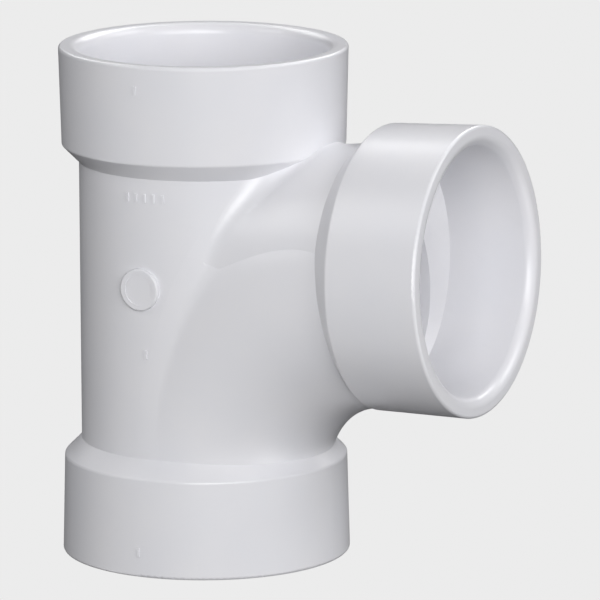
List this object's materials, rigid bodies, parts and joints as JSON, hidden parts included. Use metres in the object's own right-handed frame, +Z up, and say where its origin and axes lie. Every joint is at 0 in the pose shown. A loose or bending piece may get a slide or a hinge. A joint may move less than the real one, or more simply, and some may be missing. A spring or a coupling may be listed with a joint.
{
  "type": "pvc sanitary tee fitting",
  "caption": "White PVC drain tee with a swept side branch and solvent-weld sockets, which joins a branch pipe to a straight run of pipe.",
  "frame": {"origin": "centre of the lower socket's mouth, on the run axis", "axes": "+Z up the run from the lower socket to the upper, +X along the branch, +Y completes the frame; the gate pad is on the -Y side"},
  "size_m": [0.0887, 0.0566, 0.1004],
  "materials": {
    "upper_hub": "glossy white moulded PVC",
    "lower_hub": "glossy white moulded PVC",
    "branch_hub": "glossy white moulded PVC",
    "run_barrel": "glossy white moulded PVC",
    "branch_neck": "glossy white moulded PVC",
    "gate_pad": "trimmed gate, slightly duller",
    "mould_marks": "glossy white moulded PVC"
  },
  "bodies": {
    "root": {"upper_hub": "upper_hub", "lower_hub": "lower_hub", "branch_hub": "branch_hub", "run_barrel": "run_barrel", "branch_neck": "branch_neck", "gate_pad": "gate_pad", "mould_marks": "mould_marks"}
  },
  "joints": []
}
